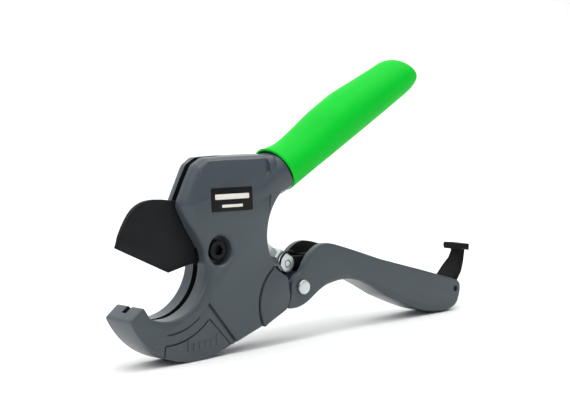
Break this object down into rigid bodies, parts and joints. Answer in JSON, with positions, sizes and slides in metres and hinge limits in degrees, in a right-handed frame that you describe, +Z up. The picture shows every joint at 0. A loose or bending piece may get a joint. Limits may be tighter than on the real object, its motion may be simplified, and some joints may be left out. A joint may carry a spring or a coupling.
{
  "type": "plastic pipe cutter",
  "caption": "Ratchet hand cutter for plastic pipe: hooked slotted jaw, curved pivoting blade, fixed gripped handle and a sprung lever handle with an end catch.",
  "frame": {"origin": "on the floor under the middle of the tool as it stands on the jaw's back and the lever's heel", "axes": "+X along the tool from the jaw to the handles, +Y through its thickness away from the bolt head's side, +Z up"},
  "size_m": [0.2032, 0.0242, 0.1182],
  "materials": {
    "painted_casting": "satin slate-grey powder coat on a die casting",
    "green_grip": "soft satin bright green sleeve",
    "coated_blade": "matt black non-stick coating on steel",
    "black_steel": "black oxide steel",
    "zinc_steel": "bright zinc-plated steel",
    "black_plastic": "black moulded nylon",
    "black_plate": "semi-gloss black plate"
  },
  "bodies": {
    "frame": {"frame_casting": "painted_casting", "handle_grip": "green_grip", "name_plate": "black_plate", "blade_pivot_bolt": "black_steel", "blade_pivot_nut": "zinc_steel", "blade_bush": "zinc_steel", "blade_washer_near": "zinc_steel", "blade_washer_far": "zinc_steel", "handle_pivot_pin": "zinc_steel", "handle_pivot_bush": "zinc_steel", "pin_retaining_clip": "zinc_steel", "handle_return_spring": "black_steel", "holding_pawl_pin": "zinc_steel", "holding_pawl_spring": "black_steel"},
    "blade": {"blade": "coated_blade"},
    "lever": {"lever_handle": "painted_casting", "drive_pawl_pin": "zinc_steel", "drive_pawl_spring": "black_steel", "latch_pin": "black_steel"},
    "drive_pawl": {"drive_pawl": "zinc_steel"},
    "holding_pawl": {"holding_pawl": "zinc_steel"},
    "latch": {"latch": "black_plastic"}
  },
  "joints": [
    {"name": "blade_pivot", "type": "hinge", "parent": "frame", "child": "blade", "pos_m": [-0.05299, 0, 0.0448], "axis": [0, -1, 0], "range_deg": [-58, 46]},
    {"name": "lever_pivot", "type": "hinge", "parent": "frame", "child": "lever", "pos_m": [-0.00809, 0, 0.0236], "axis": [0, -1, 0], "range_deg": [0, 42], "stiffness_Nm_per_rad": 0.25, "springref_deg": -34.38},
    {"name": "drive_pawl_swing", "type": "hinge", "parent": "lever", "child": "drive_pawl", "pos_m": [-0.01199, 0, 0.0338], "axis": [0, -1, 0], "range_deg": [-42, 0]},
    {"name": "holding_pawl_lift", "type": "hinge", "parent": "frame", "child": "holding_pawl", "pos_m": [-0.02869, 0, 0.0587], "axis": [0, 1, 0], "range_deg": [0, 6], "stiffness_Nm_per_rad": 0.01, "springref_deg": -11.46},
    {"name": "latch_hinge", "type": "hinge", "parent": "lever", "child": "latch", "pos_m": [0.08771, 0, 0.0102], "axis": [0, -1, 0], "range_deg": [-35, 15]}
  ],
  "couplings": [
    {"joint": "drive_pawl_swing", "follows": "lever_pivot", "ratio": -1}
  ]
}
